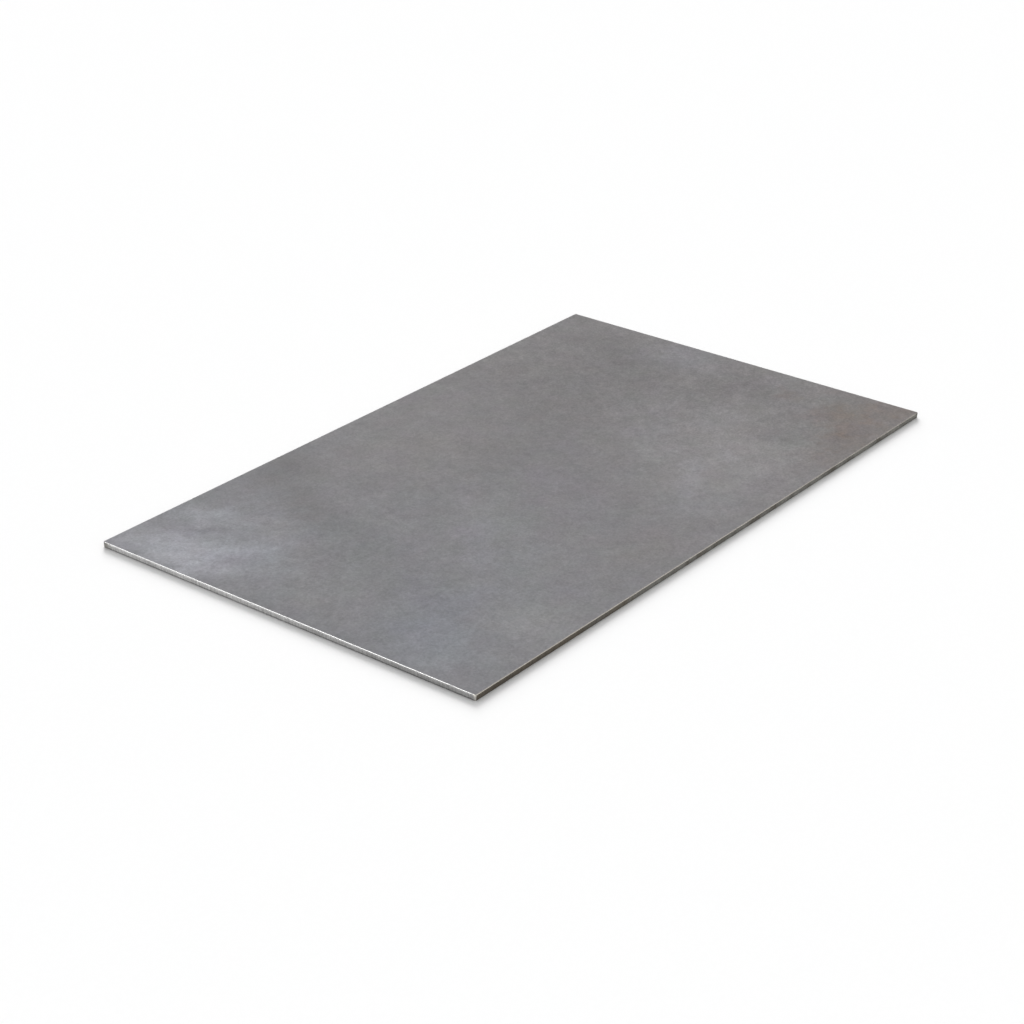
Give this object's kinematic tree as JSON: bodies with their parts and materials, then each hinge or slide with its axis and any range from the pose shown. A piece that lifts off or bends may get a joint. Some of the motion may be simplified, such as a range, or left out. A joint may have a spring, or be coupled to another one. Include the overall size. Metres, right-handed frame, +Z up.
{
  "type": "steel plate",
  "caption": "Flat rectangular steel plate cut to size from rolled stock, with square-cut edges and eased arrises, for base plates, covers and fabrication.",
  "frame": {"origin": "centre of the underside, on the surface that the plate lies on", "axes": "+X along the plate's length, +Y across its width, +Z up through its thickness"},
  "size_m": [0.5, 0.3, 0.004],
  "materials": {
    "rolled_steel": "rolled mill finish, matte to satin, with faint clouding and bare metal on the eased arrises"
  },
  "bodies": {
    "root": {"plate": "rolled_steel"}
  },
  "joints": []
}
